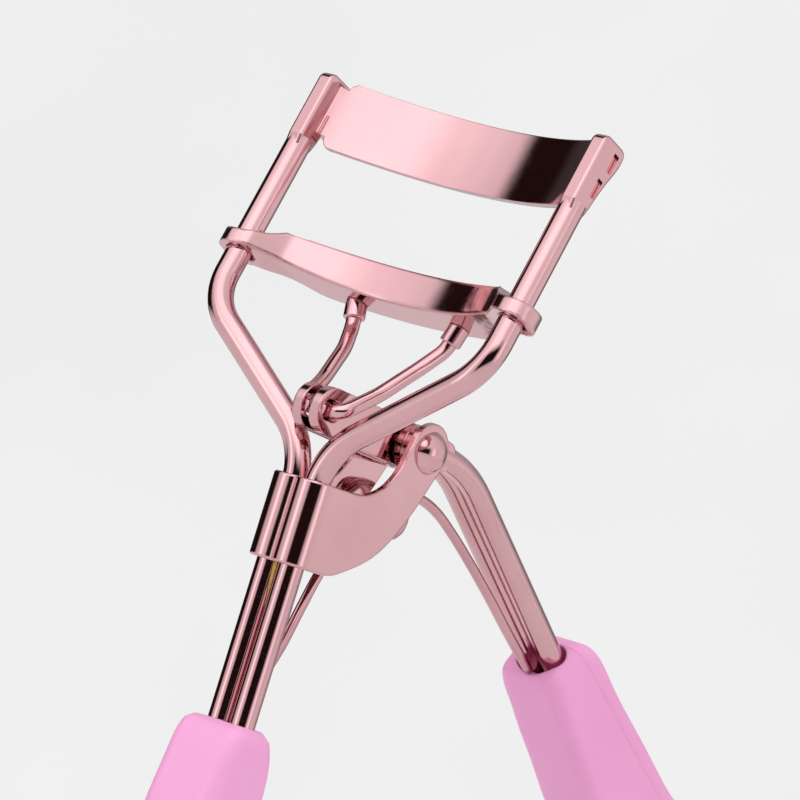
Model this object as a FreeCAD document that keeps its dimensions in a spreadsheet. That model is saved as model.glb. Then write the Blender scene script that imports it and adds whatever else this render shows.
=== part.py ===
import FreeCAD, Part
import math
import os

# Eyelash curler: bent-wire frame with a fixed upper jaw, a sliding lower jaw on
# two guide rods, a forked push wire, a forged lever handle, a return spring and
# two moulded grips.  Millimetres, +Z towards the jaws, X along the jaws, the
# fixed stems stand along Z and the moving handle swings in the YZ plane.

V3 = FreeCAD.Vector
doc = FreeCAD.newDocument("EyelashCurler")

# ---------------------------------------------------------------- dimensions
P = doc.addObject("Spreadsheet::Sheet", "P")
CELLS = [
    ("wire_d", 2.5), ("stem_x", 1.275), ("stem_low", -28.0), ("neck_z", 11.0),
    ("neck_rad", 7.0), ("knee_x", 16.4), ("knee_y", -0.78), ("knee_z", 21.9),
    ("knee_rad", 5.6), ("tilt_deg", 17.64), ("rod_round", 17.2), ("rod_top", 25.3),
    ("pad_thick", 1.7), ("paddle_deep", 3.6),
    ("jaw_half", 15.75), ("jaw_bow", 4.2), ("upper_n", 5.85), ("upper_thick", 1.0),
    ("upper_lo", 18.17), ("upper_hi", 25.38), ("edge_slope", 0.22),
    ("lower_front", 4.4), ("lower_back", 8.4), ("lower_backbow", 2.2),
    ("lower_lo", 6.0), ("lower_hi", 8.6), ("wall", 0.85), ("groove_w", 2.3),
    ("groove_floor", 6.95), ("strip_hi", 8.85), ("lower_half", 12.6),
    ("ring_h", 6.12), ("ring_tall", 1.45), ("ring_wall", 0.72), ("ring_gap", 0.16),
    ("ring_run", 0.45),
    ("ferrule_x", 6.1), ("ferrule_n", 6.7), ("ferrule_d", 2.1), ("ferrule_len", 1.5),
    ("fork_d", 1.45), ("cross_x", 2.55),
    ("eye_y", -1.24), ("eye_z", 14.7), ("pivot_y", 12.75), ("pivot_z", 14.05),
    ("arm_in", 0.5), ("arm_out", 1.5), ("hub_in", 0.3), ("hub_out", 2.3),
    ("eye_rad", 2.2), ("hub_rad", 2.3), ("slot_rad", 1.01), ("slot_half", 0.48), ("slot_shift", -0.10),
    ("pin_d", 3.0), ("pin_gap", 0.06), ("head_d", 4.15), ("head_tall", 1.4),
    ("clamp_in", 2.61), ("clamp_wall", 0.72), ("clamp_top", 8.15), ("clamp_rad", 2.8), ("braze_w", 0.8), ("braze_low", 4.3),
    ("bend_y", 21.9), ("bend_z", 13.72), ("bend_rad", 15.0),
    ("grip_y", 41.98), ("grip_z", 0.97), ("handle_deg", 32.2), ("tang_len", 16.5),
    ("grip_half", 3.85), ("grip_round", 1.5), ("front_top", -15.4), ("front_y", -0.15),
    ("rear_start", 4.3),
    ("bow_centre", 43.5), ("bow_out_a", 14.0), ("bow_out_b", 12.2),
    ("bow_in_a", 10.4), ("bow_in_b", 8.4),
    ("spring_d", 1.0), ("coil_y", 14.5), ("coil_z", 7.6), ("coil_rad", 1.95), ("coil_pitch", 1.12),
    ("org_x", 0.0), ("org_y", 41.284), ("org_z", -13.362),
]
for i, (name, value) in enumerate(CELLS):
    P.set("A%d" % (i + 1), name)
    P.set("B%d" % (i + 1), repr(value))
    P.setAlias("B%d" % (i + 1), name)
doc.recompute()


def g(name):
    return float(P.get(name))


TILT = math.radians(g("tilt_deg"))
VV = V3(0, math.sin(TILT), math.cos(TILT))      # along the guide rods
NN = V3(0, math.cos(TILT), -math.sin(TILT))     # square to the rods, towards the back
KNEE = V3(0, g("knee_y"), g("knee_z"))


def at(x, n, h):
    """Point at x, n behind the rod plane, h above the knees along the rods."""
    return V3(x, 0, 0) + KNEE + NN * n + VV * h


def rounded_path(pts, radii):
    """Straight runs joined by tangent arcs."""
    edges = []
    cur = pts[0]
    for i in range(1, len(pts) - 1):
        a = (pts[i - 1] - pts[i]).normalize()
        b = (pts[i + 1] - pts[i]).normalize()
        ang = math.acos(max(-1, min(1, a.dot(b))))
        run = radii[i - 1] / math.tan(ang / 2)
        p0 = pts[i] + a * run
        p1 = pts[i] + b * run
        bis = (a + b).normalize()
        centre = pts[i] + bis * (radii[i - 1] / math.sin(ang / 2))
        mid = centre - bis * radii[i - 1]
        if (p0 - cur).Length > 1e-6:
            edges.append(Part.LineSegment(cur, p0).toShape())
        edges.append(Part.Arc(p0, mid, p1).toShape())
        cur = p1
    edges.append(Part.LineSegment(cur, pts[-1]).toShape())
    return Part.Wire(edges)


def feature(name, shape):
    o = doc.addObject("Part::Feature", name)
    o.Shape = shape
    return o


def sweep(name, path_wire, dia_expr, dia, frenet=False):
    """Round wire swept along a path; the section's radius follows the sheet."""
    path = feature(name + "_path", path_wire)
    c = doc.addObject("Part::Circle", name + "_section")
    c.setExpression("Radius", dia_expr)
    e = path_wire.OrderedEdges[0]
    p0 = path_wire.OrderedVertexes[0].Point
    tan = e.tangentAt(e.FirstParameter)
    if (e.valueAt(e.FirstParameter) - p0).Length > 1e-5:
        tan = e.tangentAt(e.LastParameter) * -1
    c.Placement = FreeCAD.Placement(p0, FreeCAD.Rotation(V3(0, 0, 1), tan))
    s = doc.addObject("Part::Sweep", name + "_sweep")
    s.Sections = [c]
    s.Spine = (path, ["Edge%d" % (i + 1) for i in range(len(path_wire.Edges))])
    s.Solid = True
    s.Frenet = frenet
    doc.recompute()
    return s


def extrude(name, face, direction, length_expr, length):
    base = feature(name + "_face", face)
    o = doc.addObject("Part::Extrusion", name + "_ext")
    o.Base = base
    o.DirMode = "Custom"
    o.Dir = direction
    o.LengthFwd = length
    if length_expr:
        o.setExpression("LengthFwd", length_expr)
    o.Solid = True
    return o


def boolean(kind, name, a, b):
    o = doc.addObject("Part::" + kind, name)
    if kind in ("MultiFuse", "MultiCommon"):
        o.Shapes = [a] + list(b)
    else:
        o.Base = a
        o.Tool = b
    doc.recompute()
    return o


def cylinder(name, rad_expr, len_expr, pos, axis):
    o = doc.addObject("Part::Cylinder", name)
    o.setExpression("Radius", rad_expr)
    o.setExpression("Height", len_expr)
    o.Placement = FreeCAD.Placement(pos, FreeCAD.Rotation(V3(0, 0, 1), axis))
    return o


def poly_face(pts):
    return Part.Face(Part.makePolygon(pts + [pts[0]]))


def spline_edge(pts):
    b = Part.BSplineCurve()
    b.interpolate(pts)
    return b.toShape()


PARTS = []


def node(obj, name):
    obj.Label = name
    obj.setExpression("Placement.Base.x", "-P.org_x")
    obj.setExpression("Placement.Base.y", "-P.org_y")
    obj.setExpression("Placement.Base.z", "-P.org_z")
    PARTS.append(obj)


def fillet(name, base, rad_expr, rad, pick):
    """Fillet the edges that pick() accepts; falls back to the sharp solid."""
    doc.recompute()
    ids = [i + 1 for i, e in enumerate(base.Shape.Edges) if pick(e)]
    if not ids:
        print("fillet", name, "no edges")
        return base
    for scale in (1.0, 0.7, 0.45):
        f = doc.addObject("Part::Fillet", name)
        f.Base = base
        f.Edges = [(i, rad * scale, rad * scale) for i in ids]
        doc.recompute()
        if f.Shape and not f.Shape.isNull() and f.Shape.isValid() and f.Shape.Volume > 0.5 * base.Shape.Volume and len(f.Shape.Solids) == len(base.Shape.Solids):
            print("fillet", name, "ok x%.2f" % scale, "edges", len(ids))
            return f
        doc.removeObject(f.Name)
        doc.recompute()
    print("fillet", name, "left sharp")
    return base


# ------------------------------------------------------------- frame wires
def frame_wire(side, name):
    sx = g("stem_x") * side
    kx = g("knee_x") * side
    pts = [V3(sx, 0, g("stem_low")), V3(sx, 0, g("neck_z")), V3(kx, g("knee_y"), g("knee_z")),
           at(kx, 0, g("rod_round") + 1.0)]
    rod = sweep(name, rounded_path(pts, [g("neck_rad"), g("knee_rad")]), "P.wire_d / 2", g("wire_d"))
    # the rod's end is flattened into a paddle that carries the upper jaw
    w = g("pad_thick") / 2
    r = g("wire_d") / 2
    top = g("rod_top")
    lo = g("rod_round")
    d = g("paddle_deep") - r
    a = kx - w
    q = 1 - math.sqrt(0.5)
    prof = [Part.LineSegment(at(a, -r * 0.8, lo - 0.6), at(a, -r - 0.06, lo + 1.0)).toShape(),
            Part.LineSegment(at(a, -r - 0.06, lo + 1.0), at(a, -r - 0.06, top - 0.9)).toShape(),
            Part.Arc(at(a, -r - 0.06, top - 0.9), at(a, -r - 0.06 + 0.9 * q, top - 0.9 * q), at(a, -r + 0.84, top)).toShape(),
            Part.LineSegment(at(a, -r + 0.84, top), at(a, d - 0.55, top + 0.1)).toShape(),
            spline_edge([at(a, d - 0.55, top + 0.1), at(a, d + 0.15, top - 0.25), at(a, d + 0.32, top - 1.0), at(a, d - 0.12, top - 3.2), at(a, d - 0.62, top - 5.4), at(a, r + 0.12, lo + 0.7), at(a, r * 0.7, lo - 0.5)]),
            Part.LineSegment(at(a, r * 0.7, lo - 0.5), at(a, -r * 0.8, lo - 0.6)).toShape()]
    pad = extrude(name + "_paddle", Part.Face(Part.Wire(prof)), V3(1, 0, 0), "P.pad_thick", g("pad_thick"))
    pad = fillet(name + "_padround", pad, None, 0.55, lambda e: abs(abs(e.CenterOfMass.x - kx) - w) < 0.02 and (e.CenterOfMass - KNEE).dot(VV) > lo - 0.3)
    body = boolean("MultiFuse", name + "_join", rod, [pad])
    cur = body
    # stamped windows for the jaw's end tabs
    for k, (h, wn) in enumerate(((19.5, 0.45), (22.5, 0.9))):
        box = doc.addObject("Part::Box", "%s_window%d" % (name, k))
        box.Length = g("pad_thick") + 2
        box.Width = 0.86
        box.Height = 1.96
        box.Placement = FreeCAD.Placement(at(kx - g("pad_thick") / 2 - 1, wn - 0.03, h - 0.03), FreeCAD.Rotation(V3(1, 0, 0), -g("tilt_deg")))
        cur = boolean("Cut", "%s_cut%d" % (name, k), cur, box)
    node(cur, name)
    return cur


frame_wire(-1, "guide_rod_left")
frame_wire(1, "guide_rod_right")


# ------------------------------------------------------------ clamp bracket
def clamp():
    ci, wl = g("clamp_in"), g("clamp_wall")
    co = ci + wl
    sx = g("stem_x")
    z0, back = -1.0, 18.0
    q = math.sqrt(0.5)
    ro, ri = co - sx, ci - sx                       # lobes round each stem
    vo = 0.12                                       # half width of the valley between the lobes
    def lobe(rad, x):
        return -math.sqrt(rad * rad - (sx - x) ** 2)
    yo = lobe(ro, vo)
    yi = lobe(ri, 0.5)
    ao = math.atan2(yo, vo - sx)
    def arc(rad, side, x_end):
        a1 = math.atan2(lobe(rad, x_end), x_end - sx)
        am = a1 / 2
        return V3(side * (sx + rad * math.cos(am)), rad * math.sin(am), z0)
    out = [Part.LineSegment(V3(co, back, z0), V3(co, 0, z0)).toShape(),
           Part.Arc(V3(co, 0, z0), arc(ro, 1, vo), V3(vo, yo, z0)).toShape(),
           Part.LineSegment(V3(vo, yo, z0), V3(-vo, yo, z0)).toShape(),
           Part.Arc(V3(-vo, yo, z0), arc(ro, -1, vo), V3(-co, 0, z0)).toShape(),
           Part.LineSegment(V3(-co, 0, z0), V3(-co, back, z0)).toShape(),
           Part.LineSegment(V3(-co, back, z0), V3(-ci, back, z0)).toShape(),
           Part.LineSegment(V3(-ci, back, z0), V3(-ci, 0, z0)).toShape(),
           Part.Arc(V3(-ci, 0, z0), arc(ri, -1, 0.5), V3(-0.5, yi, z0)).toShape(),
           Part.LineSegment(V3(-0.5, yi, z0), V3(0.5, yi, z0)).toShape(),
           Part.Arc(V3(0.5, yi, z0), arc(ri, 1, 0.5), V3(ci, 0, z0)).toShape(),
           Part.LineSegment(V3(ci, 0, z0), V3(ci, back, z0)).toShape(),
           Part.LineSegment(V3(ci, back, z0), V3(co, back, z0)).toShape()]
    u = extrude("clamp_u", Part.Face(Part.Wire(out)), V3(0, 0, 1), None, 24.0)
    # side outline of the cheeks
    py, pz, R, zt = g("pivot_y"), g("pivot_z"), g("clamp_rad"), g("clamp_top")
    x = -6
    a0, a1 = math.radians(160), math.radians(-30)
    am = (a0 + a1) / 2
    ps = V3(x, py + R * math.cos(a0), pz + R * math.sin(a0))
    pm = V3(x, py + R * math.cos(am), pz + R * math.sin(am))
    pe = V3(x, py + R * math.cos(a1), pz + R * math.sin(a1))

    def tangent_spline(pts, t0, t1):
        b = Part.BSplineCurve()
        b.interpolate(Points=pts, InitialTangent=t0, FinalTangent=t1)
        return b.toShape()
    ts = V3(0, math.sin(a0), -math.cos(a0))
    te = V3(0, math.sin(a1), -math.cos(a1))
    edges = [Part.LineSegment(V3(x, -4, 0), V3(x, -4, zt)).toShape(),
             Part.LineSegment(V3(x, -4, zt), V3(x, 2.2, zt)).toShape(),
             tangent_spline([V3(x, 2.2, zt), V3(x, 5.2, 8.35), V3(x, 7.7, 9.6), V3(x, 9.3, 12.0), ps], V3(0, 1, 0), ts),
             Part.Arc(ps, pm, pe).toShape(),
             tangent_spline([pe, V3(x, 13.6, 9.4), V3(x, 11.7, 6.1), V3(x, 8.7, 2.75), V3(x, 5.3, 0.85), V3(x, 1.8, 0.0)], te, V3(0, -1, 0)),
             Part.LineSegment(V3(x, 1.8, 0.0), V3(x, -4, 0)).toShape()]
    side = extrude("clamp_side", Part.Face(Part.Wire(edges)), V3(1, 0, 0), None, 12.0)
    c = boolean("MultiCommon", "clamp_trim", u, [side])
    hole = cylinder("clamp_bore", "P.pin_d / 2", "14", V3(-7, py, pz), V3(1, 0, 0))
    c = boolean("Cut", "clamp_drilled", c, hole)
    c = fillet("clamp_edge", c, None, 0.25, lambda e: e.BoundBox.YMin > -0.05 and abs(abs(e.CenterOfMass.x) - co) < 0.02 and e.Length > 1.0 and abs(e.Length - math.pi * g("pin_d")) > 0.3 and e.BoundBox.YLength > 0.5)
    node(c, "hinge_bracket")


clamp()


# ------------------------------------------------ braze between the stems
def braze():
    # the filler lies in the valley between the stems and thins out downwards
    x, zt, zl = -g("braze_w") / 2, g("clamp_top") - 1, -g("braze_low")
    face = poly_face([V3(x, -0.78, zt), V3(x, -0.78, -0.6), V3(x, -0.66, -2.2), V3(x, -0.4, zl), V3(x, -0.24, zl), V3(x, -0.24, zt)])
    box = extrude("braze_blank", face, V3(1, 0, 0), "P.braze_w", g("braze_w"))
    tools = [cylinder("braze_stem%d" % k, "P.wire_d / 2 + 0.01", "20", V3(sx * g("stem_x"), 0, -10), V3(0, 0, 1)) for k, sx in enumerate((-1, 1))]
    b = box
    for k, t in enumerate(tools):
        b = boolean("Cut", "braze_cut%d" % k, b, t)
    node(b, "braze_seam")


braze()


# -------------------------------------------------------------- pivot rivet
def rivet():
    co = g("clamp_in") + g("clamp_wall")
    ht, hr, pr = g("head_tall"), g("head_d") / 2, g("pin_d") / 2
    # half profile in the X-radius plane, turned about the pivot axis
    big = (hr * hr + ht * ht) / (2 * ht)
    am = math.asin(hr / big) / 2
    def dome(s):
        tip = V3(s * (co + ht), 0, 0)
        rim = V3(s * co, 0, hr)
        mid = V3(s * (co + ht - big + big * math.cos(am)), 0, big * math.sin(am))
        return tip, mid, rim
    t1, m1, r1 = dome(1)
    t0, m0, r0 = dome(-1)
    edges = [Part.LineSegment(t0, t1).toShape(), Part.Arc(t1, m1, r1).toShape(),
             Part.LineSegment(r1, V3(co, 0, pr)).toShape(), Part.LineSegment(V3(co, 0, pr), V3(-co, 0, pr)).toShape(),
             Part.LineSegment(V3(-co, 0, pr), r0).toShape(), Part.Arc(r0, m0, t0).toShape()]
    f = Part.Face(Part.Wire(edges))
    f.translate(V3(0, g("pivot_y"), g("pivot_z")))
    base = feature("rivet_profile", f)
    rev = doc.addObject("Part::Revolution", "rivet_turned")
    rev.Source = base
    rev.Axis = (1, 0, 0)
    rev.Base = (0, g("pivot_y"), g("pivot_z"))
    rev.Angle = 360
    rev.Solid = True
    doc.recompute()
    node(rev, "pivot_rivet")


rivet()


# ---------------------------------------------------------------- jaw curves
def jaw_n(n0, bow, x):
    return n0 - bow * (x / 14.0) ** 2


def slab(name, h0, slope, up):
    """Half space above or below a plane that rises towards the back."""
    s = slope
    if up:
        pts = [at(-22, -12, h0 - 12 * s), at(-22, 16, h0 + 16 * s), at(-22, 16, h0 + 40), at(-22, -12, h0 + 40)]
    else:
        pts = [at(-22, -12, h0 - 12 * s), at(-22, 16, h0 + 16 * s), at(-22, 16, h0 - 40), at(-22, -12, h0 - 40)]
    return extrude(name, poly_face(pts), V3(1, 0, 0), None, 44.0)


def curve_pts(n0, bow, half, h, count=13):
    return [at(-half + 2 * half * i / (count - 1), jaw_n(n0, bow, -half + 2 * half * i / (count - 1)), h) for i in range(count)]


# ------------------------------------------------------------ upper jaw bar
def upper_jaw():
    n0, bow, th = g("upper_n"), g("jaw_bow"), g("upper_thick")
    half = 14.6
    h = 14.0
    front = curve_pts(n0, bow, half, h)
    back = curve_pts(n0 + th, bow, half, h)
    # each end sweeps forward to the rod and ends in a flat tab along it
    end = g("jaw_half") - 0.2
    fr = spline_edge([at(-end, 0.35, h)] + front[1:-1] + [at(end, 0.35, h)])
    bk = spline_edge([at(-end, 1.9, h)] + back[1:-1] + [at(end, 1.9, h)])
    f = Part.Face(Part.Wire([fr, Part.LineSegment(at(end, 0.35, h), at(end, 1.9, h)).toShape(), bk,
                             Part.LineSegment(at(-end, 1.9, h), at(-end, 0.35, h)).toShape()]))
    bar = extrude("upper_blank", f, VV, None, 20.0)
    b = boolean("MultiCommon", "upper_trim1", bar, [slab("upper_lo_plane", g("upper_lo"), g("edge_slope"), True)])
    b = boolean("MultiCommon", "upper_trim2", b, [slab("upper_hi_plane", g("upper_hi"), g("edge_slope") - 0.01, False)])
    # the plate's corners are rounded down to a narrower neck at each rod
    def pr(x, hh):
        return at(x, -14, hh)
    q = math.sqrt(0.5) * 1.2
    e = []
    for s in (1, -1):
        run = [Part.LineSegment(pr(0, 29), pr(s * 13.6, 29)), Part.LineSegment(pr(s * 13.6, 29), pr(s * 13.6, 25.9)),
               Part.Arc(pr(s * 13.6, 25.9), pr(s * (13.6 + q), 24.7 + q), pr(s * 14.8, 24.7)), Part.LineSegment(pr(s * 14.8, 24.7), pr(s * 17.9, 24.7)),
               Part.LineSegment(pr(s * 17.9, 24.7), pr(s * 17.9, 19.4)), Part.LineSegment(pr(s * 17.9, 19.4), pr(s * 14.8, 19.4)),
               Part.Arc(pr(s * 14.8, 19.4), pr(s * (13.6 + q), 19.4 - q), pr(s * 13.6, 18.2)), Part.LineSegment(pr(s * 13.6, 18.2), pr(s * 13.6, 15)),
               Part.LineSegment(pr(s * 13.6, 15), pr(0, 15))]
        run = [r.toShape() for r in run]
        e += run if s > 0 else list(reversed(run))
    b = boolean("MultiCommon", "upper_trim3", b, [extrude("upper_height", Part.Face(Part.Wire(e)), NN, None, 40.0)])
    tabs = []
    for k, sx in enumerate((-1, 1)):
        for j, (hh, wn) in enumerate(((19.5, 0.45), (22.5, 0.9))):
            box = doc.addObject("Part::Box", "upper_tab%d%d" % (k, j))
            box.Length = 1.76
            box.Width = 0.8
            box.Height = 1.9
            x0 = g("knee_x") + g("pad_thick") / 2 - 0.32 - 1.76 if sx > 0 else -g("knee_x") - g("pad_thick") / 2 + 0.32
            box.Placement = FreeCAD.Placement(at(x0, wn, hh), FreeCAD.Rotation(V3(1, 0, 0), -g("tilt_deg")))
            tabs.append(box)
    b = boolean("MultiFuse", "upper_join", b, tabs)
    b = fillet("upper_edge", b, None, 0.3, lambda e: e.Length > 20)
    node(b, "upper_jaw")


upper_jaw()


# ----------------------------------------------------------- lower jaw tray
def ring_face(cx, grow, run, h):
    r = g("wire_d") / 2 + g("ring_gap") + grow
    d = run
    e = [Part.Arc(at(cx - r, 0, h), at(cx, -r, h), at(cx + r, 0, h)).toShape(),
         Part.LineSegment(at(cx + r, 0, h), at(cx + r, d, h)).toShape(),
         Part.Arc(at(cx + r, d, h), at(cx, d + r, h), at(cx - r, d, h)).toShape(),
         Part.LineSegment(at(cx - r, d, h), at(cx - r, 0, h)).toShape()]
    return Part.Face(Part.Wire(e))


def lower_jaw():
    hf = g("lower_half")
    h = 3.0
    nf, bow, nb, bb = g("lower_front"), g("jaw_bow"), g("lower_back"), g("lower_backbow")
    kx = g("knee_x")
    r_in = g("wire_d") / 2 + g("ring_gap")
    ro = r_in + g("ring_wall")
    run = g("ring_run")
    # plan outline: the front wall sweeps forward past the rod, the rear wall closes behind it
    def mirror(pts):
        return [V3(-p.x, p.y, p.z) for p in reversed(pts)]
    fr = [at(x, jaw_n(nf, bow, x), h) for x in (0, 2.1, 4.2, 6.3, 8.4, 10.5, 12.2)] + \
         [at(13.3, 0.05, h), at(14.1, -0.9, h), at(14.9, -1.75, h), at(15.7, -ro + 0.12, h), at(kx, -ro, h)]
    fr = mirror(fr[1:]) + fr
    bk = [at(x, jaw_n(nb, bb, x), h) for x in (0, 2.1, 4.2, 6.3, 8.4, 10.2)] + \
         [at(11.6, 6.35, h), at(12.9, 5.15, h), at(14.2, 3.95, h), at(15.3, 3.25, h), at(kx, ro + run, h)]
    bk = mirror(bk[1:]) + bk
    f = Part.Face(Part.Wire([spline_edge(fr), Part.LineSegment(fr[-1], bk[-1]).toShape(), spline_edge(bk),
                             Part.LineSegment(bk[0], fr[0]).toShape()]))
    blank = extrude("tray_blank", f, VV, None, 16.0)
    loops = [extrude("ring_out%d" % k, ring_face(sx * kx, g("ring_wall"), run, h), VV, None, 16.0) for k, sx in enumerate((-1, 1))]
    b = boolean("MultiFuse", "tray_plan", blank, loops)
    # height profile along X: full height over the channel, stepping down in a
    # soft shoulder to the narrow band of each ring
    rh, rt = g("ring_h"), g("ring_tall")
    t0, t1 = rh - rt / 2, rh + rt / 2
    lo = g("lower_lo")
    def pr(x, hh):
        return at(x, -14, hh)
    upper = [pr(0, 13.0), pr(6, 12.4), pr(10.2, 11.0), pr(12.3, 9.3), pr(13.3, 8.2), pr(14.3, 7.4), pr(15.4, t1 + 0.12), pr(17, t1), pr(21, t1)]
    upper = mirror(upper[1:]) + upper
    under = [pr(0, lo), pr(6, lo), pr(11, lo), pr(13, lo - 0.06), pr(14.5, t0 + 0.22), pr(16, t0 + 0.03), pr(21, t0)]
    under = mirror(under[1:]) + under
    pf = Part.Face(Part.Wire([spline_edge(upper), Part.LineSegment(upper[-1], under[-1]).toShape(), spline_edge(under),
                              Part.LineSegment(under[0], upper[0]).toShape()]))
    b = boolean("MultiCommon", "tray_trim1", b, [extrude("tray_height", pf, NN, None, 40.0)])
    b = boolean("MultiCommon", "tray_trim2", b, [slab("tray_hi", g("lower_hi"), g("edge_slope"), False)])
    for k, sx in enumerate((-1, 1)):
        hole = extrude("ring_bore%d" % k, ring_face(sx * kx, 0.0, run, 0.0), VV, None, 14.0)
        b = boolean("Cut", "ring_cut%d" % k, b, hole)
    # groove for the cushion strip
    w = g("wall")
    gh = hf - 0.9
    gf = curve_pts(nf + w, bow, gh, g("groove_floor"))
    gb = curve_pts(nf + w + g("groove_w"), bow, gh, g("groove_floor"))
    face = Part.Face(Part.Wire([spline_edge(gf), Part.LineSegment(gf[-1], gb[-1]).toShape(), spline_edge(gb),
                                Part.LineSegment(gb[0], gf[0]).toShape()]))
    b = boolean("Cut", "tray_groove", b, extrude("groove_tool", face, VV, None, 10.0))
    b = fillet("tray_edge", b, None, 0.28, lambda e: e.Length > 24 and (e.CenterOfMass - KNEE).dot(VV) < lo + 0.3)
    node(b, "lower_jaw")
    # cushion strip, 0.02 clear of the groove walls
    c = 0.02
    sf = curve_pts(nf + w + c, bow, gh - c, g("groove_floor"))
    sb = curve_pts(nf + w + g("groove_w") - c, bow, gh - c, g("groove_floor"))
    face = Part.Face(Part.Wire([spline_edge(sf), Part.LineSegment(sf[-1], sb[-1]).toShape(), spline_edge(sb),
                                Part.LineSegment(sb[0], sf[0]).toShape()]))
    s = extrude("strip_blank", face, VV, None, 10.0)
    s = boolean("MultiCommon", "strip_trim", s, [slab("strip_hi_plane", g("strip_hi"), g("edge_slope"), False)])
    s = fillet("strip_edge", s, None, 0.5, lambda e: e.Length > 15 and (e.CenterOfMass - at(0, 6, 9.5)).Length < 1.9 and (e.CenterOfMass - KNEE).dot(VV) > 8.2)
    node(s, "silicone_pad")


lower_jaw()


# -------------------------------------------------------------- push fork
def fork():
    fx, fn, cx = g("ferrule_x"), g("ferrule_n"), g("cross_x")
    ey, ez = g("eye_y"), g("eye_z")
    hu = g("lower_lo")
    top = at(fx, fn, hu - 0.3)
    low = V3(fx - 0.48, 7.05, 23.3)
    pts = [top, low, V3(4.6, 5.6, 21.1), V3(3.4, 2.3, 17.5), V3(2.45, ey, ez)]
    allp = [V3(-p.x, p.y, p.z) for p in pts] + [V3(p.x, p.y, p.z) for p in reversed(pts)]
    bends = {1: 3.0, 2: 9.0, 3: 9.0, 4: 1.3}
    radii = [bends[min(i, len(allp) - 1 - i)] for i in range(1, len(allp) - 1)]
    w = rounded_path(allp, radii)
    f = sweep("fork", w, "P.fork_d / 2", g("fork_d"))
    node(f, "push_fork")
    # crimped ferrules under the tray
    both = []
    for k, sx in enumerate((-1, 1)):
        ax = (V3(sx * low.x, low.y, low.z) - V3(sx * top.x, top.y, top.z)).normalize()
        p0 = V3(sx * top.x, top.y, top.z) - ax * 0.27
        c = cylinder("ferrule%d" % k, "P.ferrule_d / 2", "P.ferrule_len + 0.8", p0 + ax * -0.7, ax)
        both.append(c)
    j = boolean("MultiFuse", "ferrule_pair", both[0], [both[1]])
    j = boolean("MultiCommon", "ferrule_trim", j, [slab("ferrule_top", hu - 0.04, 0.0, False)])
    hole = doc.addObject("Part::MultiFuse", "ferrule_bores")
    bores = []
    for k, sx in enumerate((-1, 1)):
        ax = (V3(sx * low.x, low.y, low.z) - V3(sx * top.x, top.y, top.z)).normalize()
        p0 = V3(sx * top.x, top.y, top.z) - ax * 0.27
        bores.append(cylinder("ferrule_bore%d" % k, "P.fork_d / 2 + 0.05", "P.ferrule_len + 3", p0 + ax * (-1.0), ax))
    hole.Shapes = bores
    doc.recompute()
    j = boolean("Cut", "ferrule_bored", j, hole)
    j = fillet("ferrule_round", j, None, 0.4, lambda e: abs(e.Length - math.pi * g("ferrule_d")) < 0.06)
    node(j, "fork_ferrules")


fork()


# --------------------------------------------------------- moving handle
def handle_wire(side, name):
    x = g("stem_x") * side
    py, pz = g("pivot_y"), g("pivot_z")
    by, bz = g("bend_y"), g("bend_z")
    gy, gz = g("grip_y"), g("grip_z")
    d = V3(0, gy - by, gz - bz).normalize()
    end = V3(x, gy, gz) + d * g("tang_len")
    start = V3(x, py + 2.9, pz + 0.3)
    w = rounded_path([start, V3(x, by, bz), end], [g("bend_rad")])
    rod = sweep(name, w, "P.wire_d / 2", g("wire_d"))
    # forged lever: hub round the pivot, thinner arm out to the eye
    ey, ez = g("eye_y"), g("eye_z")
    er, hr = g("eye_rad"), g("hub_rad")
    def plate(nm, xi, xo, cy, cz, r1, ty, tz, r2):
        dirv = V3(0, ty - cy, tz - cz)
        L = dirv.Length
        u = dirv.normalize()
        n = V3(0, -u.z, u.y)
        s = (r1 - r2) / L
        co = math.sqrt(1 - s * s)
        c1, c2 = V3(0, cy, cz), V3(0, ty, tz)
        a1, a2 = c1 + (u * s + n * co) * r1, c2 + (u * s + n * co) * r2
        b1, b2 = c1 + (u * s - n * co) * r1, c2 + (u * s - n * co) * r2
        x0 = min(side * xi, side * xo)
        off = V3(x0, 0, 0)
        e = [Part.LineSegment(a1 + off, a2 + off).toShape(), Part.Arc(a2 + off, c2 + u * r2 + off, b2 + off).toShape(),
             Part.LineSegment(b2 + off, b1 + off).toShape(), Part.Arc(b1 + off, c1 - u * r1 + off, a1 + off).toShape()]
        return extrude(nm, Part.Face(Part.Wire(e)), V3(1, 0, 0), None, abs(xo - xi))
    arm = plate(name + "_arm", g("arm_in"), g("arm_out"), py, pz, 2.2, ey, ez, er)
    hub = plate(name + "_hub", g("hub_in"), g("hub_out"), py, pz, hr, py + 3.9, pz + 0.22, 1.45)
    b = boolean("MultiFuse", name + "_forged", rod, [arm, hub])
    bore = cylinder(name + "_bore", "P.pin_d / 2 + P.pin_gap", "14", V3(-7, py, pz), V3(1, 0, 0))
    b = boolean("Cut", name + "_drilled", b, bore)
    # eye: a short slot along the arm, because the fork moves straight
    u = V3(0, py - ey, pz - ez).normalize()
    n = V3(0, -u.z, u.y)
    sr, sh = g("slot_rad"), g("slot_half")
    ce = V3(-7, ey, ez) + u * g("slot_shift")
    c1, c2 = ce - u * sh, ce + u * sh
    e = [Part.LineSegment(c1 + n * sr, c2 + n * sr).toShape(), Part.Arc(c2 + n * sr, c2 + u * sr, c2 - n * sr).toShape(),
         Part.LineSegment(c2 - n * sr, c1 - n * sr).toShape(), Part.Arc(c1 - n * sr, c1 - u * sr, c1 + n * sr).toShape()]
    slot = extrude(name + "_slot", Part.Face(Part.Wire(e)), V3(1, 0, 0), None, 14.0)
    b = boolean("Cut", name + "_eyed", b, slot)
    node(b, name)


handle_wire(-1, "lever_wire_left")
handle_wire(1, "lever_wire_right")


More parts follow.
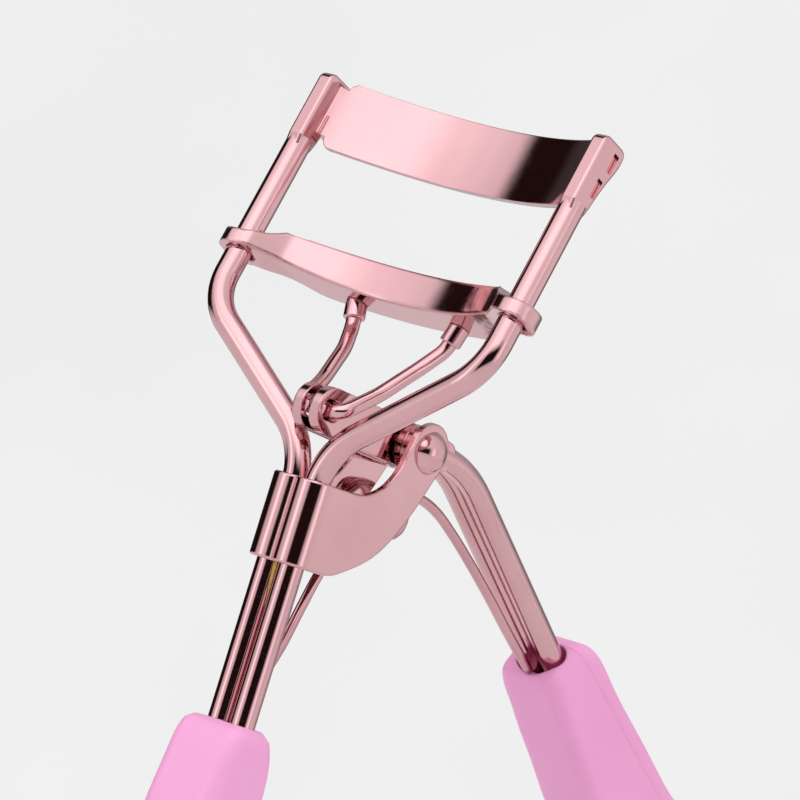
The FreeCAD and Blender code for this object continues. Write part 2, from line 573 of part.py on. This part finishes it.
# ------------------------------------------------------------------- grips
def grip(name, origin, down, start, back, front, core=0.0, mouth=0.0):
    """down: unit vector along the handle; side: square to it, towards the back.
    back and front give the half thickness on each side down to the ring."""
    side = V3(0, -down.z, down.y)
    def q(a, s, x=0.0):
        return origin + down * a + side * s + V3(x, 0, 0)
    half = g("grip_half")
    a0 = start
    bc, oa, ob = g("bow_centre"), g("bow_out_a"), g("bow_out_b")
    right = [q(a0 + a, s, -half) for a, s in back] + [q(a0 + 32, 7.2, -half),
             q(a0 + 37, 10.6, -half), q(a0 + bc, ob, -half), q(a0 + bc + oa * 0.64, ob * 0.77, -half), q(a0 + bc + oa, 0, -half)]
    left = [q(a0 + bc + oa, 0, -half), q(a0 + bc + oa * 0.64, -ob * 0.77, -half), q(a0 + bc, -ob, -half), q(a0 + 37, -10.6, -half), q(a0 + 32, -7.3, -half)] + [q(a0 + a, -s, -half) for a, s in reversed(front)] + [
            q(a0 + 0.35, -2.75, -half), q(a0, -1.9, -half)]
    pts = right[1:] + left[1:-1]
    e = [Part.LineSegment(left[-1], right[0]).toShape(), Part.LineSegment(right[0], right[1]).toShape(), spline_edge(pts),
         Part.LineSegment(pts[-1], left[-1]).toShape()]
    b = extrude(name + "_blank", Part.Face(Part.Wire(e)), V3(1, 0, 0), "P.grip_half * 2", half * 2)
    ia, ib = g("bow_in_a"), g("bow_in_b")
    el = Part.Ellipse(q(a0 + bc + ia, 0, -9), q(a0 + bc, ib, -9), q(a0 + bc, 0, -9)).toShape()
    hole = extrude(name + "_bow", Part.Face(Part.Wire([el])), V3(1, 0, 0), None, 18.0)
    b = boolean("Cut", name + "_ring", b, hole)
    b = fillet(name + "_soft", b, None, g("grip_round"), lambda e: abs(abs(e.CenterOfMass.x) - half) < 0.05 or (e.Length > half * 2 - 0.1 and e.Length < half * 2 + 0.1 and False))
    # socket for the two wires
    r = g("wire_d") / 2 + 0.02
    sx = g("stem_x")
    depth = g("tang_len") + 0.1 - a0
    def sp(x, s):
        return q(a0 - 1.0, s + core, x)
    e = [Part.LineSegment(sp(-sx, r), sp(sx, r)).toShape(), Part.Arc(sp(sx, r), sp(sx + r, 0), sp(sx, -r)).toShape(),
         Part.LineSegment(sp(sx, -r), sp(-sx, -r)).toShape(), Part.Arc(sp(-sx, -r), sp(-sx - r, 0), sp(-sx, r)).toShape()]
    sock = extrude(name + "_socket", Part.Face(Part.Wire(e)), down, None, depth + 1.0)
    b = boolean("Cut", name + "_cored", b, sock)
    if mouth > 0:
        # open mouth round the wires, longer on the side where the spring's leg enters
        mx = sx + r + 0.28
        e = [Part.LineSegment(sp(-mx + 1.2, 1.62), sp(mx - 1.2, 1.62)).toShape(),
             Part.Arc(sp(mx - 1.2, 1.62), sp(mx, 0.3), sp(mx - 0.5, -1.2)).toShape(),
             Part.Arc(sp(mx - 0.5, -1.2), sp(0, -2.45), sp(-mx + 0.5, -1.2)).toShape(),
             Part.Arc(sp(-mx + 0.5, -1.2), sp(-mx, 0.3), sp(-mx + 1.2, 1.62)).toShape()]
        rec = extrude(name + "_mouth", Part.Face(Part.Wire(e)), down, None, mouth + 1.0)
        b = boolean("Cut", name + "_open", b, rec)
    node(b, name)
    return b


grip("grip_front", V3(0, g("front_y"), g("front_top")), V3(0, 0, -1), 0.0,
     [(0, 1.5), (0.55, 2.5), (1.9, 3.25), (8, 4.05), (18, 4.7), (27, 5.6)],
     [(1.3, 3.35), (3.8, 3.95), (7.6, 4.62), (14, 5.2), (20, 5.5), (27, 5.9)], -g("front_y"))
HD = V3(0, g("grip_y") - g("bend_y"), g("grip_z") - g("bend_z")).normalize()
grip("grip_rear", V3(0, g("grip_y"), g("grip_z")), HD, g("rear_start") - 1.0,
     [(0, 1.8), (0.5, 2.8), (1.75, 3.68), (7.5, 4.4), (16.5, 4.88), (23, 5.25), (27, 5.6)],
     [(1.3, 3.3), (4.2, 3.75), (7.7, 4.15), (12, 4.5), (18, 5.1), (27, 5.9)], 0.0, 1.6)


# ------------------------------------------------------------ return spring
def spring():
    cy, cz, R, pitch = g("coil_y"), g("coil_z"), g("coil_rad"), g("coil_pitch")
    d = g("spring_d")
    # legs lie in x = -/+ half a coil width; one and a half turns between them
    turns = 1.1
    n = 40
    a_start = math.radians(131.0)
    pts = []
    x0 = -pitch * turns / 2
    for i in range(n + 1):
        k = i / n
        a = a_start - 2 * math.pi * turns * k
        pts.append(V3(x0 + pitch * turns * k, cy + R * math.cos(a), cz + R * math.sin(a)))
    lead = [V3(-0.25, 1.85, -13.6), V3(-0.3, 3.0, -10.2), V3(-0.35, 4.35, -7.0), V3(-0.4, 5.4, -3.6), V3(-0.5, 6.9, 0.6), V3(-0.6, 9.0, 4.6)]
    tail = [V3(0.6, 17.0, 9.75), V3(0.5, 20.2, 9.1), V3(0.4, 24.2, 7.45), V3(0.3, 28.6, 5.3), V3(0.2, 32.9, 3.05), V3(0.1, 38.3, 0.05), V3(0.0, 43.6, -2.75)]
    b = Part.BSplineCurve()
    b.interpolate(lead + pts[::2] + tail)
    w = Part.Wire([b.toShape()])
    s = sweep("spring", w, "P.spring_d / 2", d, True)
    node(s, "return_spring")


spring()

# ------------------------------------------------------------------- export
doc.recompute()
bad = []
for o in doc.Objects:
    st = [str(t) for t in o.State]
    if "Invalid" in st or "Error" in st:
        bad.append((o.Name, st))
for o in PARTS:
    sh = o.Shape
    if sh.isNull() or not sh.isValid():
        bad.append((o.Label, "null or invalid"))
    print("%-18s solids %d faces %3d vol %8.2f  box x %.2f..%.2f y %.2f..%.2f z %.2f..%.2f" % (
        o.Label, len(sh.Solids), len(sh.Faces), sh.Volume, sh.BoundBox.XMin, sh.BoundBox.XMax,
        sh.BoundBox.YMin, sh.BoundBox.YMax, sh.BoundBox.ZMin, sh.BoundBox.ZMax))
if bad:
    raise SystemExit("failed objects: %s" % bad)
os.makedirs("parts", exist_ok=True)
for o in PARTS:
    o.Shape.exportStep("parts/%s.step" % o.Label)
print("exported", len(PARTS))
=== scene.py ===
import bpy, bmesh, math
from mathutils import Vector, Matrix


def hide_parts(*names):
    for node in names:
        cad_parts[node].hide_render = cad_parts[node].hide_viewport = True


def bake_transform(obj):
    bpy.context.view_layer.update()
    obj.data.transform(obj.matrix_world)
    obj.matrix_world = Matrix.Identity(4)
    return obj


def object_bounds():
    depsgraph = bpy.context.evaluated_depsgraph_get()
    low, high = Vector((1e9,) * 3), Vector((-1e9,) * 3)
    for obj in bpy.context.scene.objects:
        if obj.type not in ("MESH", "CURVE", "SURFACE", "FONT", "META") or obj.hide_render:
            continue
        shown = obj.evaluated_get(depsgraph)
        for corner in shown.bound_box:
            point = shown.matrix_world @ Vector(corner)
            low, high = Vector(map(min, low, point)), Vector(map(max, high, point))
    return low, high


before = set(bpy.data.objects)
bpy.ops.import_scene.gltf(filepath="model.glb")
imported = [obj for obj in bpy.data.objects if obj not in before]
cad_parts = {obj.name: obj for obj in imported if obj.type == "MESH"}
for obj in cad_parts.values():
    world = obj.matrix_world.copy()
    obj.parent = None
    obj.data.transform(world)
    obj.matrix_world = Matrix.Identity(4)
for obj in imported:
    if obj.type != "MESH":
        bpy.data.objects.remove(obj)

CAD_BOX = [[float(c) for c in p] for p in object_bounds()]

# the model's own frame: stem frame millimetres -> row frame metres
ORG = Vector((0.0, 41.284, -13.362))


def P(x, y, z):
    return (Vector((x, y, z)) - ORG) / 1000.0


# ------------------------------------------------------------------ camera
cam_data = bpy.data.cameras.new("camera")
cam = bpy.data.objects.new("camera", cam_data)
bpy.context.scene.collection.objects.link(cam)
R = Vector((0.77149, 0.56385, 0.29473))
U = Vector((-0.21038, -0.21111, 0.95455))
B = Vector((0.60044, -0.79844, -0.04424))
m = Matrix((R, U, B)).transposed().to_4x4()
m.translation = P(282.11, -365.02, -2.80)
cam.matrix_world = m
cam_data.sensor_width = 36.0
cam_data.sensor_height = 36.0
cam_data.lens = 224.94
cam_data.clip_start = 0.01
cam_data.clip_end = 20.0
cam_data.dof.use_dof = False
bpy.context.scene.camera = cam
bpy.context.scene.view_settings.view_transform = "Standard"
bpy.context.scene.view_settings.look = "None"

# --------------------------------------------------------------- node help


def new_mat(name):
    mat = bpy.data.materials.new(name)
    mat.use_nodes = True
    nt = mat.node_tree
    bsdf = nt.nodes["Principled BSDF"]
    return mat, nt, bsdf


def setv(bsdf, key, value):
    if key in bsdf.inputs:
        bsdf.inputs[key].default_value = value


def coords(nt):
    return nt.nodes.new("ShaderNodeTexCoord").outputs["Object"]


def noise(nt, vec, scale, detail=3.0, rough=0.5, dist=0.0):
    n = nt.nodes.new("ShaderNodeTexNoise")
    n.inputs["Scale"].default_value = scale
    n.inputs["Detail"].default_value = detail
    n.inputs["Roughness"].default_value = rough
    n.inputs["Distortion"].default_value = dist
    nt.links.new(vec, n.inputs["Vector"])
    return n.outputs["Fac"]


def mapping(nt, vec, scale):
    mp = nt.nodes.new("ShaderNodeMapping")
    mp.inputs["Scale"].default_value = scale
    nt.links.new(vec, mp.inputs["Vector"])
    return mp.outputs["Vector"]


def remap(nt, val, a, b, c, d):
    r = nt.nodes.new("ShaderNodeMapRange")
    r.inputs["From Min"].default_value = a
    r.inputs["From Max"].default_value = b
    r.inputs["To Min"].default_value = c
    r.inputs["To Max"].default_value = d
    nt.links.new(val, r.inputs["Value"])
    return r.outputs["Result"]


def mixcol(nt, fac, c1, c2):
    mx = nt.nodes.new("ShaderNodeMix")
    mx.data_type = "RGBA"
    mx.inputs[6].default_value = c1
    mx.inputs[7].default_value = c2
    nt.links.new(fac, mx.inputs[0])
    return mx.outputs[2]


def bump(nt, height, strength, distance, normal=None):
    b = nt.nodes.new("ShaderNodeBump")
    b.inputs["Strength"].default_value = strength
    b.inputs["Distance"].default_value = distance
    nt.links.new(height, b.inputs["Height"])
    if normal is not None:
        nt.links.new(normal, b.inputs["Normal"])
    return b.outputs["Normal"]


def bevel(nt, radius):
    b = nt.nodes.new("ShaderNodeBevel")
    b.samples = 6
    b.inputs["Radius"].default_value = radius
    return b.outputs["Normal"]


# --------------------------------------------------------------- materials
def plated(name, col, dark, edge=0.0, wave=0.0, grain=(60, 60, 900)):
    """Mirror-bright rose-gold plating over formed steel: long soft waves from
    forming, faint polishing lines, and a slightly deeper tone in patches."""
    mat, nt, bsdf = new_mat(name)
    vec = coords(nt)
    tone = noise(nt, vec, 90.0, 4.0, 0.55)
    nt.links.new(mixcol(nt, remap(nt, tone, 0.35, 0.7, 0.0, 1.0), col, dark), bsdf.inputs["Base Color"])
    setv(bsdf, "Metallic", 1.0)
    fine = noise(nt, mapping(nt, vec, grain), 9.0, 5.0, 0.6)
    spots = noise(nt, vec, 1400.0, 2.0, 0.5)
    add = nt.nodes.new("ShaderNodeMath")
    add.operation = "MULTIPLY"
    nt.links.new(fine, add.inputs[0])
    nt.links.new(spots, add.inputs[1])
    nt.links.new(remap(nt, add.outputs[0], 0.12, 0.42, 0.035, 0.11), bsdf.inputs["Roughness"])
    nrm = bevel(nt, edge) if edge > 0 else None
    if wave > 0:
        nrm = bump(nt, noise(nt, vec, 260.0, 2.0, 0.4), wave, 0.0004, nrm)
    nrm = bump(nt, fine, 0.05, 0.00004, nrm)
    nt.links.new(nrm, bsdf.inputs["Normal"])
    return mat


ROSE = (0.72, 0.425, 0.445, 1.0)
ROSE_D = (0.66, 0.375, 0.40, 1.0)
m_wire = plated("plated_wire_m", ROSE, ROSE_D, 0.0, 0.06)
m_sheet = plated("plated_sheet_m", ROSE, ROSE_D, 0.00016, 0.05, (700, 60, 60))
m_tray = plated("plated_tray_m", ROSE, ROSE_D, 0.0004, 0.05, (700, 60, 60))
m_forged = plated("plated_forged_m", ROSE, ROSE_D, 0.00025, 0.10)
m_rivet = plated("plated_rivet_m", ROSE, ROSE_D, 0.00015, 0.08)
m_spring = plated("spring_wire_m", (0.68, 0.385, 0.41, 1), (0.56, 0.30, 0.325, 1), 0.0, 0.05)


def grip_material(name, seam=False):
    mat, nt, bsdf = new_mat(name)
    vec = coords(nt)
    big = noise(nt, vec, 55.0, 3.0, 0.5)
    nt.links.new(mixcol(nt, remap(nt, big, 0.3, 0.7, 0.0, 1.0), (0.90, 0.40, 0.69, 1), (0.87, 0.355, 0.64, 1)), bsdf.inputs["Base Color"])
    grain = noise(nt, vec, 2600.0, 3.0, 0.6)
    nt.links.new(remap(nt, grain, 0.3, 0.7, 0.36, 0.5), bsdf.inputs["Roughness"])
    setv(bsdf, "Subsurface Weight", 0.12)
    setv(bsdf, "Subsurface Scale", 0.002)
    setv(bsdf, "Subsurface Radius", (1.0, 0.5, 0.8))
    setv(bsdf, "Specular IOR Level", 0.45)
    n1 = bump(nt, noise(nt, vec, 320.0, 2.0, 0.5), 0.12, 0.0002, bevel(nt, 0.0003))
    n2 = bump(nt, grain, 0.18, 0.00003, n1)
    if seam:
        # fine mould parting line along the side of the grip
        down = Vector((0, 0.8442, -0.536))
        d = Vector((0, 0.536, 0.8442)) - down * 0.064
        dot = nt.nodes.new("ShaderNodeVectorMath")
        dot.operation = "DOT_PRODUCT"
        dot.inputs[1].default_value = d
        nt.links.new(vec, dot.inputs[0])
        off = nt.nodes.new("ShaderNodeMath")
        off.operation = "SUBTRACT"
        off.inputs[1].default_value = P(0, 41.98, 0.97).dot(d) + 0.00242 - 0.064 * 0.0131
        nt.links.new(dot.outputs["Value"], off.inputs[0])
        mag = nt.nodes.new("ShaderNodeMath")
        mag.operation = "ABSOLUTE"
        nt.links.new(off.outputs[0], mag.inputs[0])
        n2 = bump(nt, remap(nt, mag.outputs[0], 0.0, 0.0003, 1.0, 0.0), 0.55, 0.00016, n2)
    nt.links.new(n2, bsdf.inputs["Normal"])
    return mat


def pad_material():
    mat, nt, bsdf = new_mat("silicone_m")
    vec = coords(nt)
    n = noise(nt, vec, 1500.0, 3.0, 0.6)
    nt.links.new(mixcol(nt, n, (0.86, 0.42, 0.62, 1), (0.80, 0.36, 0.56, 1)), bsdf.inputs["Base Color"])
    nt.links.new(remap(nt, n, 0.3, 0.7, 0.5, 0.62), bsdf.inputs["Roughness"])
    setv(bsdf, "Subsurface Weight", 0.2)
    setv(bsdf, "Subsurface Scale", 0.002)
    nt.links.new(bump(nt, n, 0.2, 0.00003, bevel(nt, 0.0003)), bsdf.inputs["Normal"])
    return mat


def braze_material():
    mat, nt, bsdf = new_mat("braze_m")
    vec = coords(nt)
    n = noise(nt, vec, 1800.0, 4.0, 0.6)
    nt.links.new(mixcol(nt, n, (0.58, 0.37, 0.12, 1), (0.34, 0.19, 0.06, 1)), bsdf.inputs["Base Color"])
    setv(bsdf, "Metallic", 1.0)
    nt.links.new(remap(nt, n, 0.3, 0.7, 0.22, 0.45), bsdf.inputs["Roughness"])
    nt.links.new(bump(nt, n, 0.5, 0.0001, bevel(nt, 0.0002)), bsdf.inputs["Normal"])
    return mat


m_grip = grip_material("pink_grip_m")
m_grip_rear = grip_material("pink_grip_seam_m", True)
m_pad = pad_material()
m_braze = braze_material()

LOOK = {
    "guide_rod_left": m_wire, "guide_rod_right": m_wire, "push_fork": m_wire,
    "hinge_bracket": m_sheet, "upper_jaw": m_sheet, "lower_jaw": m_tray,
    "fork_ferrules": m_rivet, "pivot_rivet": m_rivet,
    "lever_wire_left": m_forged, "lever_wire_right": m_forged,
    "grip_front": m_grip, "grip_rear": m_grip_rear,
    "silicone_pad": m_pad, "braze_seam": m_braze, "return_spring": m_spring,
}
for name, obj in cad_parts.items():
    mat = LOOK.get(name)
    if mat is None:
        continue
    if not obj.material_slots:
        obj.data.materials.append(mat)
    for s in obj.material_slots:
        s.material = mat


# ---------------------------------------------------------- return spring
def smooth_path(pts, per=8):
    """Centripetal Catmull-Rom through the points."""
    q = [pts[0] * 2 - pts[1]] + list(pts) + [pts[-1] * 2 - pts[-2]]
    out = []
    for i in range(1, len(q) - 2):
        p0, p1, p2, p3 = q[i - 1], q[i], q[i + 1], q[i + 2]
        t0 = 0.0
        t1 = t0 + max((p1 - p0).length, 1e-9) ** 0.5
        t2 = t1 + max((p2 - p1).length, 1e-9) ** 0.5
        t3 = t2 + max((p3 - p2).length, 1e-9) ** 0.5
        for k in range(per):
            t = t1 + (t2 - t1) * k / per
            a1 = p0 * ((t1 - t) / (t1 - t0)) + p1 * ((t - t0) / (t1 - t0))
            a2 = p1 * ((t2 - t) / (t2 - t1)) + p2 * ((t - t1) / (t2 - t1))
            a3 = p2 * ((t3 - t) / (t3 - t2)) + p3 * ((t - t2) / (t3 - t2))
            b1 = a1 * ((t2 - t) / (t2 - t0)) + a2 * ((t - t0) / (t2 - t0))
            b2 = a2 * ((t3 - t) / (t3 - t1)) + a3 * ((t - t1) / (t3 - t1))
            out.append(b1 * ((t2 - t) / (t2 - t1)) + b2 * ((t - t1) / (t2 - t1)))
    out.append(pts[-1])
    return out


def tube(name, pts, radius, mat, sides=14):
    bm = bmesh.new()
    rings = []
    up = Vector((1, 0, 0))
    for i, p in enumerate(pts):
        t = (pts[min(i + 1, len(pts) - 1)] - pts[max(i - 1, 0)]).normalized()
        n = (up - t * up.dot(t)).normalized()
        b = t.cross(n)
        ends = min(i, len(pts) - 1 - i)
        r = radius * (1.0 if ends > 0 else 0.82)
        rings.append([bm.verts.new(p + (n * math.cos(a) + b * math.sin(a)) * r) for a in [2 * math.pi * k / sides for k in range(sides)]])
        up = n
    for r0, r1 in zip(rings, rings[1:]):
        for k in range(sides):
            bm.faces.new((r0[k], r0[(k + 1) % sides], r1[(k + 1) % sides], r1[k]))
    bm.faces.new(list(reversed(rings[0])))
    bm.faces.new(rings[-1])
    bmesh.ops.recalc_face_normals(bm, faces=bm.faces)
    for f in bm.faces:
        f.smooth = len(f.verts) == 4
    me = bpy.data.meshes.new(name)
    bm.to_mesh(me)
    bm.free()
    ob = bpy.data.objects.new(name, me)
    bpy.context.scene.collection.objects.link(ob)
    me.materials.append(mat)
    return ob


coil = []
cy, cz, cr, pitch, turns = 14.5, 7.6, 1.95, 1.12, 1.1
for i in range(21):
    k = i / 20
    a = math.radians(131.0) - 2 * math.pi * turns * k
    coil.append(Vector((-pitch * turns / 2 + pitch * turns * k, cy + cr * math.cos(a), cz + cr * math.sin(a))))
lead = [(-0.25, 1.85, -13.6), (-0.3, 3.0, -10.2), (-0.35, 4.35, -7.0), (-0.4, 5.4, -3.6), (-0.5, 6.9, 0.6), (-0.6, 9.0, 4.6)]
tail = [(0.6, 17.0, 9.75), (0.5, 20.2, 9.1), (0.4, 24.2, 7.45), (0.3, 28.6, 5.3), (0.2, 32.9, 3.05), (0.1, 38.3, 0.05), (0.0, 43.6, -2.75)]
pts = [P(*p) for p in lead] + [P(*p) for p in coil] + [P(*p) for p in tail]
spring = tube("return_spring_wire", smooth_path(pts, 8), 0.0005, m_spring)
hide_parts("return_spring")
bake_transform(spring)

# ------------------------------------------------------------------- floor
lo, hi = CAD_BOX


def floor():
    bm = bmesh.new()
    n = 64
    z = lo[2] - 0.0002
    c = bm.verts.new((0, 0, z))
    ring = [bm.verts.new((1.2 * math.cos(2 * math.pi * k / n), 1.2 * math.sin(2 * math.pi * k / n), z)) for k in range(n)]
    for k in range(n):
        bm.faces.new((c, ring[k], ring[(k + 1) % n]))
    me = bpy.data.meshes.new("floor")
    bm.to_mesh(me)
    bm.free()
    ob = bpy.data.objects.new("floor", me)
    bpy.context.scene.collection.objects.link(ob)
    mat, nt, bsdf = new_mat("floor_m")
    vec = coords(nt)
    n1 = noise(nt, vec, 9.0, 4.0, 0.55)
    nt.links.new(mixcol(nt, n1, (0.84, 0.845, 0.845, 1), (0.80, 0.805, 0.805, 1)), bsdf.inputs["Base Color"])
    setv(bsdf, "Roughness", 0.85)
    # the floor fades out at its rim, so no edge shows against the backdrop
    grad = nt.nodes.new("ShaderNodeVectorMath")
    grad.operation = "LENGTH"
    nt.links.new(vec, grad.inputs[0])
    nt.links.new(remap(nt, grad.outputs["Value"], 0.35, 0.8, 1.0, 0.0), bsdf.inputs["Alpha"])
    me.materials.append(mat)


floor()


# ------------------------------------------------------------------- world
def studio():
    w = bpy.data.worlds.new("studio")
    bpy.context.scene.world = w
    w.use_nodes = True
    nt = w.node_tree
    for n in list(nt.nodes):
        nt.nodes.remove(n)
    out = nt.nodes.new("ShaderNodeOutputWorld")
    tc = nt.nodes.new("ShaderNodeTexCoord")
    # turn so that +X is the side the object is seen from
    mp = nt.nodes.new("ShaderNodeMapping")
    mp.vector_type = "VECTOR"
    az = math.atan2(B.y, B.x)
    mp.inputs["Rotation"].default_value = (0, 0, -az)
    nt.links.new(tc.outputs["Generated"], mp.inputs["Vector"])
    sep = nt.nodes.new("ShaderNodeSeparateXYZ")
    nt.links.new(mp.outputs["Vector"], sep.inputs["Vector"])
    at = nt.nodes.new("ShaderNodeMath")
    at.operation = "ARCTAN2"
    nt.links.new(sep.outputs["Y"], at.inputs[0])
    nt.links.new(sep.outputs["X"], at.inputs[1])
    u = remap(nt, at.outputs[0], -math.pi, math.pi, 0.0, 1.0)

    def ramp(stops, interp="EASE"):
        r = nt.nodes.new("ShaderNodeValToRGB")
        r.color_ramp.interpolation = interp
        el = r.color_ramp.elements
        while len(el) > 1:
            el.remove(el[-1])
        el[0].position = stops[0][0]
        el[0].color = (*stops[0][1], 1) if isinstance(stops[0][1], tuple) else (stops[0][1],) * 3 + (1,)
        for p, c in stops[1:]:
            e = el.new(p)
            e.color = (*c, 1) if isinstance(c, tuple) else (c, c, c, 1)
        return r

    def pos(deg):
        return (deg + 180.0) / 360.0

    # around the object: 0 is towards the viewer, + is to the viewer's right
    D = (0.016, 0.008, 0.007)
    mid = ramp([(pos(-180), 0.08), (pos(-168), 0.20), (pos(-150), D), (pos(-102), D), (pos(-90), 0.75), (pos(-74), 0.88), (pos(-62), 1.9), (pos(-50), 1.0), (pos(-36), 0.78),
                (pos(-28), D), (pos(24), D), (pos(34), 0.68), (pos(50), 1.5), (pos(64), 0.85),
                (pos(108), 0.92), (pos(122), 0.62), (pos(142), 0.16), (pos(156), 0.34), (pos(170), 0.40), (pos(180), 0.06)])
    nt.links.new(u, mid.inputs["Fac"])
    top = ramp([(pos(-180), 0.5), (pos(-150), 0.34), (pos(-137), 0.12), (pos(-127), D), (pos(-108), D), (pos(-96), 1.0), (pos(-82), 1.15), (pos(-64), 1.3), (pos(-40), 1.75),
                (pos(-8), 1.7), (pos(22), 1.0), (pos(60), 0.95), (pos(100), 0.85), (pos(150), 0.45), (pos(180), 0.5)])
    nt.links.new(u, top.inputs["Fac"])
    low = ramp([(pos(-180), 0.42), (pos(-120), 0.22), (pos(-60), 0.55), (pos(0), 0.10), (pos(60), 0.42), (pos(120), 0.30), (pos(180), 0.36)])
    nt.links.new(u, low.inputs["Fac"])
    zt = remap(nt, sep.outputs["Z"], 0.22, 0.45, 0.0, 1.0)
    zl = remap(nt, sep.outputs["Z"], -0.22, -0.5, 0.0, 1.0)
    m1 = nt.nodes.new("ShaderNodeMix")
    m1.data_type = "RGBA"
    nt.links.new(zt, m1.inputs[0])
    nt.links.new(mid.outputs["Color"], m1.inputs[6])
    nt.links.new(top.outputs["Color"], m1.inputs[7])
    m2 = nt.nodes.new("ShaderNodeMix")
    m2.data_type = "RGBA"
    nt.links.new(zl, m2.inputs[0])
    nt.links.new(m1.outputs[2], m2.inputs[6])
    nt.links.new(low.outputs["Color"], m2.inputs[7])
    bg = nt.nodes.new("ShaderNodeBackground")
    nt.links.new(m2.outputs[2], bg.inputs["Color"])
    bg.inputs["Strength"].default_value = 1.0
    # the plain pale backdrop seen directly
    back = nt.nodes.new("ShaderNodeBackground")
    cl = noise(nt, tc.outputs["Generated"], 9.0, 4.0, 0.5)
    nt.links.new(mixcol(nt, remap(nt, cl, 0.3, 0.7, 0.0, 1.0), (0.885, 0.885, 0.886, 1), (0.842, 0.843, 0.845, 1)), back.inputs["Color"])
    back.inputs["Strength"].default_value = 1.0
    lp = nt.nodes.new("ShaderNodeLightPath")
    ms = nt.nodes.new("ShaderNodeMixShader")
    nt.links.new(lp.outputs["Is Camera Ray"], ms.inputs[0])
    nt.links.new(bg.outputs[0], ms.inputs[1])
    nt.links.new(back.outputs[0], ms.inputs[2])
    nt.links.new(ms.outputs[0], out.inputs["Surface"])


studio()


def area(name, pos, target, size, power, col=(1, 1, 1)):
    ld = bpy.data.lights.new(name, "AREA")
    ld.shape = "RECTANGLE"
    ld.size, ld.size_y = size
    ld.energy = power
    ld.color = col
    ob = bpy.data.objects.new(name, ld)
    bpy.context.scene.collection.objects.link(ob)
    ob.location = pos
    ob.rotation_euler = (Vector(target) - Vector(pos)).to_track_quat("-Z", "Y").to_euler()
    # the mirror plating reflects the studio walls, not the lamps themselves
    ob.visible_glossy = False
    return ob


centre = P(0, 10, 10)
fwd, side = Vector((B.x, B.y, 0)).normalized(), Vector((R.x, R.y, 0)).normalized()
area("key_left", centre - side * 0.5 + fwd * 0.35 + Vector((0, 0, 0.35)), centre, (0.42, 0.5), 0.75)
area("fill_right", centre + side * 0.6 + fwd * 0.2 + Vector((0, 0, 0.15)), centre, (0.3, 0.6), 0.4)
area("top", centre + Vector((0, 0, 0.7)), centre, (0.5, 0.5), 0.75)
